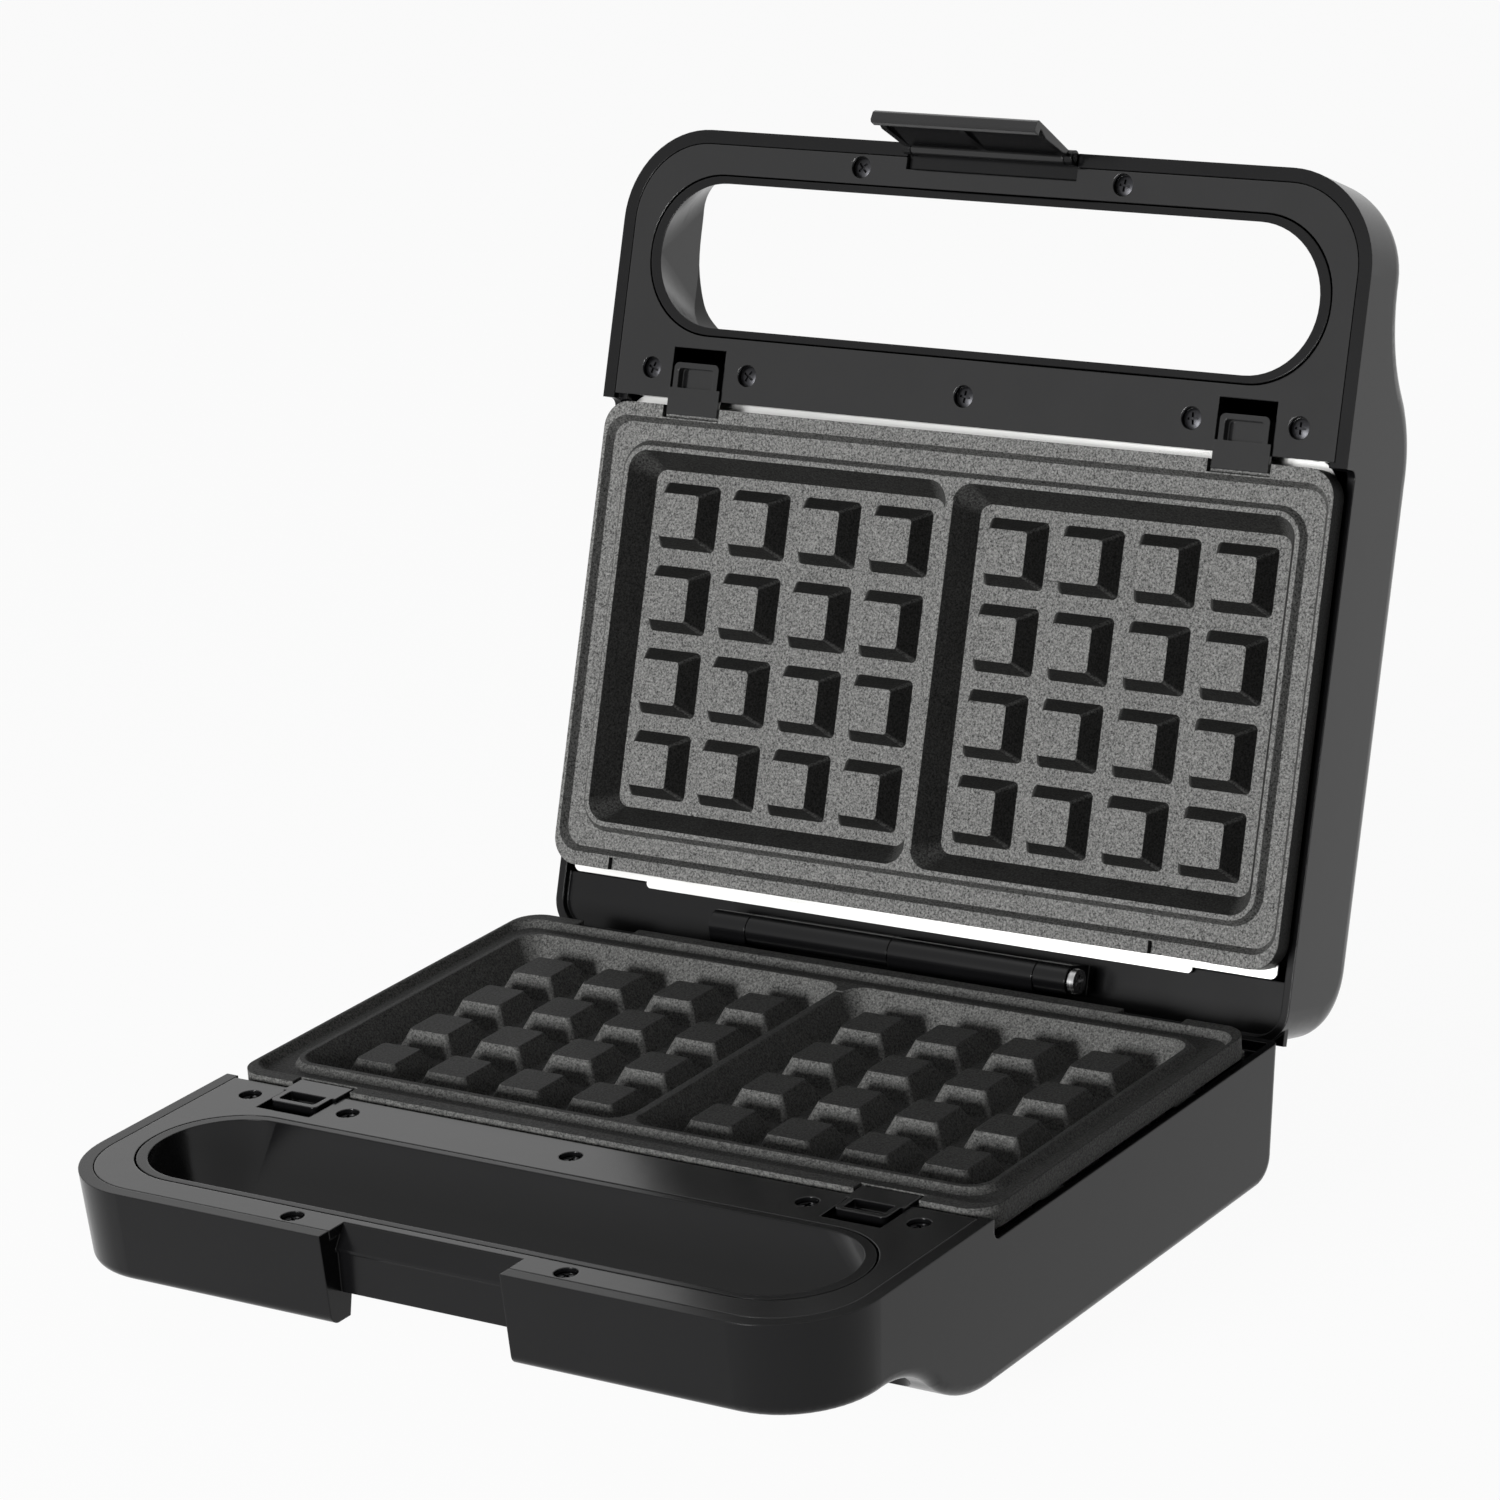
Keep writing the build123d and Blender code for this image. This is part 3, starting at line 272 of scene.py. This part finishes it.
foot_rubber = plain_moulding("moulded_rubber", "#161616", "#232322", rough=0.78, grain_mm=0.8)
steatite = plain_moulding("unglazed_steatite", "#cfcabd", "#e2ddd1", rough=0.62, grain_mm=0.6)
sleeve = plain_moulding("glass_fibre_sleeve", "#b9b7b0", "#d8d6cf", rough=0.72, grain_mm=0.9)
red_lens = plain_moulding("red_polycarbonate", "#a3150f", "#b81c14",
                          rough=0.10, grain_mm=6, clear=0.35, ior=1.585)
green_lens = plain_moulding("green_polycarbonate", "#157a2c", "#1b8d35",
                            rough=0.10, grain_mm=6, clear=0.35, ior=1.585)
lamp_glass = plain_moulding("lamp_glass", "#efe9df", "#f8f4ec", rough=0.06, grain_mm=8, clear=0.9)
print("matte:", foot_rubber.name, steatite.name, sleeve.name)
print("clear:", red_lens.name, green_lens.name, lamp_glass.name)

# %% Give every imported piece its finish
finishes = {
    "base_housing": housing_abs, "lid_housing": housing_abs,
    "base_handle_frame": trim_abs, "lid_handle_frame": trim_abs, "lid_latch": trim_abs,
    "lower_left_release": trim_abs, "lower_right_release": trim_abs,
    "upper_left_release": trim_abs, "upper_right_release": trim_abs,
    "lower_waffle_plate": lower_coat_painted_shading, "upper_waffle_plate": upper_coat_painted_shading,
    "lower_reflector_tray": tray_sheet, "upper_reflector_tray": tray_sheet,
    "base_thermostat": tray_sheet, "lid_thermostat": tray_sheet,
    "lower_heating_element": sheath_steel, "upper_heating_element": sheath_steel,
    "lower_element_clips": sheath_steel, "upper_element_clips": sheath_steel,
    "hinge_pin": pin_steel, "latch_pin": pin_steel, "hinge_screw": pin_steel,
    "base_frame_screws": screw_steel, "lid_frame_screws": screw_steel,
    "base_feet": foot_rubber, "cord_gland": foot_rubber,
    "thermal_fuse": steatite, "terminal_block": steatite,
    "base_wiring": sleeve, "lid_wiring": sleeve,
    "power_lens": red_lens, "ready_lens": green_lens, "indicator_lamps": lamp_glass,
}
for name, material in finishes.items():
    mesh = nodes[name].data
    mesh.materials.clear()
    mesh.materials.append(material)
missing = sorted(set(nodes) - set(finishes))
print("finished:", len(finishes), "without a finish:", missing)

# %% [markdown]
# ## Frame screws
# Seven small pan head screws hold each grip frame: two near the front edge and five behind
# the slot. They are all alike, so Geometry Nodes make one, with a domed head, a cross
# recess and a plain shank, and put it on every screw hole. Each is turned by
# its own seeded angle, because no one lines up the crosses of real screws. The tree's
# sizes are named inputs, so a longer screw or a larger head is one number.

# %% Where the screws stand
grip_front = -0.1470
front_row = grip_front + 0.0078
rear_row = -0.0777
screw_spots = [(x, front_row) for x in (-0.0425, 0.0425)]
screw_spots += [(x, rear_row) for x in (-0.1055, 0.1055, -0.0725, 0.0725, 0.0)]
screw_seat = -0.0008
base_centre = Vector((0, -0.0144, 0.0475))
lid_centre = Vector((0, 0.091205, 0.12342))
halves = {
    "base": (base_centre, Vector((1, 0, 0)), Vector((0, 1, 0)), Vector((0, 0, 1))),
    "lid": (lid_centre, Vector((-1, 0, 0)), Vector((0, math.cos(lid_lean), -math.sin(lid_lean))),
            Vector(lid_outward)),
}


def on_half(half, x, y, z):
    centre, across, back, outward = halves[half]
    return centre + across * x + back * y + outward * z


print("screws on each half:", len(screw_spots))

# %% [markdown]
# ### The screw as nodes
# Each helper below adds one stage and hands on its output. The head is a short cylinder
# whose top is lowered towards its rim, which domes it. Two crossed bars are cut out of it
# for the recess. The shank is a second cylinder under the head.

# %% Two helpers for sizes worked out in the tree
def figure(tree, kind, first, second):
    node = put(tree, "ShaderNodeMath", {"operation": kind})
    for socket, value in zip(node.inputs, (first, second)):
        if isinstance(value, (int, float)):
            socket.default_value = value
        else:
            tree.links.new(value, socket)
    return node.outputs[0]


def upright(tree, z):
    return put(tree, "ShaderNodeCombineXYZ", None, {"Z": z}).outputs["Vector"]


# %% The domed head
def domed_head(tree, asked):
    rim = put(tree, "GeometryNodeMeshCylinder",
              {"Vertices": 40, "Side Segments": 2, "Fill Segments": 6},
              {"Radius": asked["Head Radius"], "Depth": asked["Head Height"]})
    middle = upright(tree, figure(tree, "MULTIPLY", asked["Head Height"], 0.5))
    lifted = put(tree, "GeometryNodeTransform", None,
                 {"Geometry": rim.outputs["Mesh"], "Translation": middle})
    place = tree.nodes.new("GeometryNodeInputPosition").outputs[0]
    spot = put(tree, "ShaderNodeSeparateXYZ", None, {"Vector": place}).outputs
    level = put(tree, "ShaderNodeCombineXYZ", None, {"X": spot[0], "Y": spot[1]}).outputs[0]
    from_axis = put(tree, "ShaderNodeVectorMath", {"operation": "LENGTH"}, {"Vector": level})
    share = figure(tree, "DIVIDE", from_axis.outputs["Value"], asked["Head Radius"])
    drop = figure(tree, "MULTIPLY", figure(tree, "POWER", share, 2.0), asked["Dome"])
    high = put(tree, "FunctionNodeCompare", {"operation": "GREATER_THAN"})
    tree.links.new(spot[2], high.inputs[0])
    tree.links.new(figure(tree, "MULTIPLY", asked["Head Height"], 0.3), high.inputs[1])
    domed = put(tree, "GeometryNodeSetPosition", None,
                {"Geometry": lifted.outputs[0], "Selection": high.outputs[0],
                 "Offset": upright(tree, figure(tree, "MULTIPLY", drop, -1.0))})
    return domed.outputs[0]


# %% The cross recess
def crossed(tree, asked, head):
    for x, y in (("Cross Length", "Cross Width"), ("Cross Width", "Cross Length")):
        size = put(tree, "ShaderNodeCombineXYZ", None,
                   {"X": asked[x], "Y": asked[y],
                    "Z": figure(tree, "MULTIPLY", asked["Cross Depth"], 2.0)})
        bar = put(tree, "GeometryNodeMeshCube", None, {"Size": size.outputs[0]})
        raised = put(tree, "GeometryNodeTransform", None,
                     {"Geometry": bar.outputs["Mesh"],
                      "Translation": upright(tree, asked["Head Height"])})
        cut = tree.nodes.new("GeometryNodeMeshBoolean")
        cut.operation = "DIFFERENCE"
        cut.solver = "EXACT"
        tree.links.new(head, cut.inputs[0])
        tree.links.new(raised.outputs[0], cut.inputs[1])
        head = cut.outputs[0]
    return head


# %% The whole screw
def whole_screw(tree, asked):
    shank = put(tree, "GeometryNodeMeshCylinder", {"Vertices": 20},
                {"Radius": asked["Shank Radius"], "Depth": asked["Length"]})
    middle = upright(tree, figure(tree, "MULTIPLY", asked["Length"], -0.5))
    sunk = put(tree, "GeometryNodeTransform", None,
               {"Geometry": shank.outputs["Mesh"], "Translation": middle})
    whole = tree.nodes.new("GeometryNodeJoinGeometry")
    tree.links.new(crossed(tree, asked, domed_head(tree, asked)), whole.inputs[0])
    tree.links.new(sunk.outputs[0], whole.inputs[0])
    return whole.outputs[0]


# %% A screw on every point
screw_sizes = {"Head Radius": 0.0028, "Head Height": 0.0010, "Dome": 0.0004,
               "Shank Radius": 0.0013, "Length": 0.0088,
               "Cross Length": 0.0034, "Cross Width": 0.0007, "Cross Depth": 0.0009}


def screw_tree(material):
    tree = bpy.data.node_groups.new("pan_head_screws", "GeometryNodeTree")
    face = tree.interface
    face.new_socket("Points", in_out="INPUT", socket_type="NodeSocketGeometry")
    for name, value in screw_sizes.items():
        face.new_socket(name, in_out="INPUT", socket_type="NodeSocketFloat").default_value = value
    face.new_socket("Outward", in_out="INPUT", socket_type="NodeSocketVector")
    face.new_socket("Seed", in_out="INPUT", socket_type="NodeSocketInt")
    face.new_socket("Screws", in_out="OUTPUT", socket_type="NodeSocketGeometry")
    asked = tree.nodes.new("NodeGroupInput").outputs

    spin = put(tree, "FunctionNodeRandomValue", {"data_type": "FLOAT"})
    spin.inputs[3].default_value = math.tau
    tree.links.new(asked["Seed"], spin.inputs["Seed"])
    turned = put(tree, "FunctionNodeEulerToRotation", None,
                 {"Euler": upright(tree, spin.outputs[1])})
    stood = put(tree, "FunctionNodeAlignRotationToVector", {"axis": "Z"},
                {"Rotation": turned.outputs[0], "Vector": asked["Outward"]})
    placed = put(tree, "GeometryNodeInstanceOnPoints", None,
                 {"Points": asked["Points"], "Instance": whole_screw(tree, asked),
                  "Rotation": stood.outputs[0]})
    real = put(tree, "GeometryNodeRealizeInstances", None, {"Geometry": placed.outputs[0]})
    painted = put(tree, "GeometryNodeSetMaterial", {"Material": material},
                  {"Geometry": real.outputs[0]})
    out = tree.nodes.new("NodeGroupOutput")
    tree.links.new(painted.outputs[0], out.inputs[0])
    return tree


# %% From the tree to a plain mesh
def baked(name, seeds, tree, values):
    """The tree's result on a few points, as one plain mesh object."""
    dots = bpy.data.meshes.new(name + "_points")
    dots.from_pydata([tuple(p) for p in seeds], [], [])
    holder = bpy.data.objects.new(name + "_points", dots)
    scene.collection.objects.link(holder)
    modifier = holder.modifiers.new("screws", "NODES")
    modifier.node_group = tree
    sockets = {item.name: item.identifier for item in tree.interface.items_tree
               if item.item_type == "SOCKET" and item.in_out == "INPUT"}
    for title, value in values.items():
        modifier[sockets[title]] = value
    bpy.context.view_layer.update()
    seen = holder.evaluated_get(bpy.context.evaluated_depsgraph_get())
    mesh = bpy.data.meshes.new_from_object(seen)
    holder.modifiers.remove(modifier)
    bpy.data.objects.remove(holder)
    mesh.name = name
    finish = [material for material in mesh.materials if material]
    mesh.materials.clear()
    mesh.materials.append(finish[0])
    mesh.polygons.foreach_set("material_index", [0] * len(mesh.polygons))
    piece = bpy.data.objects.new(name, mesh)
    scene.collection.objects.link(piece)
    return piece


# %% Screws in both frames
tree = screw_tree(screw_steel)
for half, seed in (("base", 3), ("lid", 8)):
    spots = [on_half(half, x, y, screw_seat) for x, y in screw_spots]
    screws = baked(half + "_cross_screws", spots, tree,
                   {"Outward": tuple(halves[half][3]), "Seed": seed})
    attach(screws, half)
    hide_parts(half + "_frame_screws")
    print(screws.name, "faces:", len(screws.data.polygons), screws.data.materials[0].name)

# %% [markdown]
# ## Ground and light
# The photograph is a cut-out on white. A white floor that the camera sees as white, and a
# white surround for mirror rays, give that ground and the reflections in the plastic. A
# low lamp in front lights the lid's plate nearly square on, so its stud tops show and their
# slopes go darker, and a weak one above keeps the base's flat tops from going black.

# %% White ground
def seen_white(tree):
    """1 for rays that should meet the white ground: camera, mirror and clear rays."""
    path = put(tree, "ShaderNodeLightPath")
    first = put(tree, "ShaderNodeMath", {"operation": "MAXIMUM"})
    tree.links.new(path.outputs["Is Camera Ray"], first.inputs[0])
    tree.links.new(path.outputs["Is Glossy Ray"], first.inputs[1])
    both = put(tree, "ShaderNodeMath", {"operation": "MAXIMUM"})
    tree.links.new(first.outputs[0], both.inputs[0])
    tree.links.new(path.outputs["Is Transmission Ray"], both.inputs[1])
    return both.outputs[0]


room_shade = (0.04, 0.04, 0.04, 1)
world = bpy.data.worlds.new("white_room")
world.use_nodes = True
scene.world = world
sky = world.node_tree
sky.nodes.clear()
room = put(sky, "ShaderNodeMix", {"data_type": "RGBA"}, {"Factor": seen_white(sky)})
room.inputs[6].default_value = room_shade
room.inputs[7].default_value = (1, 1, 1, 1)
air = put(sky, "ShaderNodeBackground", {"Strength": 1.0}, {"Color": room.outputs[2]})
put(sky, "ShaderNodeOutputWorld", None, {"Surface": air.outputs["Background"]})

white_share = 0.95
floor_paper, tree = new_material("white_paper")
paper = put(tree, "ShaderNodeBsdfDiffuse", {"Color": colour("#f4f4f4")})
glow = put(tree, "ShaderNodeEmission", {"Color": (1, 1, 1, 1), "Strength": 1.0})
share = put(tree, "ShaderNodeMath", {"operation": "MULTIPLY"})
tree.links.new(seen_white(tree), share.inputs[0])
share.inputs[1].default_value = white_share
blend = put(tree, "ShaderNodeMixShader", None, {"Fac": share.outputs[0]})
tree.links.new(paper.outputs["BSDF"], blend.inputs[1])
tree.links.new(glow.outputs["Emission"], blend.inputs[2])
put(tree, "ShaderNodeOutputMaterial", None, {"Surface": blend.outputs["Shader"]})

sheet = bpy.data.meshes.new("ground")
sheet.from_pydata([(-4, -4, 0), (4, -4, 0), (4, 4, 0), (-4, 4, 0)], [], [(0, 1, 2, 3)])
sheet.materials.append(floor_paper)
ground = bpy.data.objects.new("ground", sheet)
scene.collection.objects.link(ground)

# %% Lamps
def soft_lamp(name, spot, aim, size, power):
    light = bpy.data.lights.new(name, "AREA")
    light.shape = "RECTANGLE"
    light.size = size[0]
    light.size_y = size[1]
    light.energy = power
    lamp = bpy.data.objects.new(name, light)
    lamp.location = spot
    lamp.rotation_euler = (Vector(aim) - Vector(spot)).to_track_quat("-Z", "Y").to_euler()
    scene.collection.objects.link(lamp)
    return lamp


soft_lamp("front_lamp", spot=(-0.22, -1.8, 0.42), aim=(0, 0.1, 0.17), size=(0.55, 0.5), power=36)
soft_lamp("top_lamp", spot=(-0.4, -0.1, 1.7), aim=(0, 0, 0.05), size=(0.9, 0.9), power=2)
scene.view_settings.view_transform = "Standard"
print("lamps: 2")
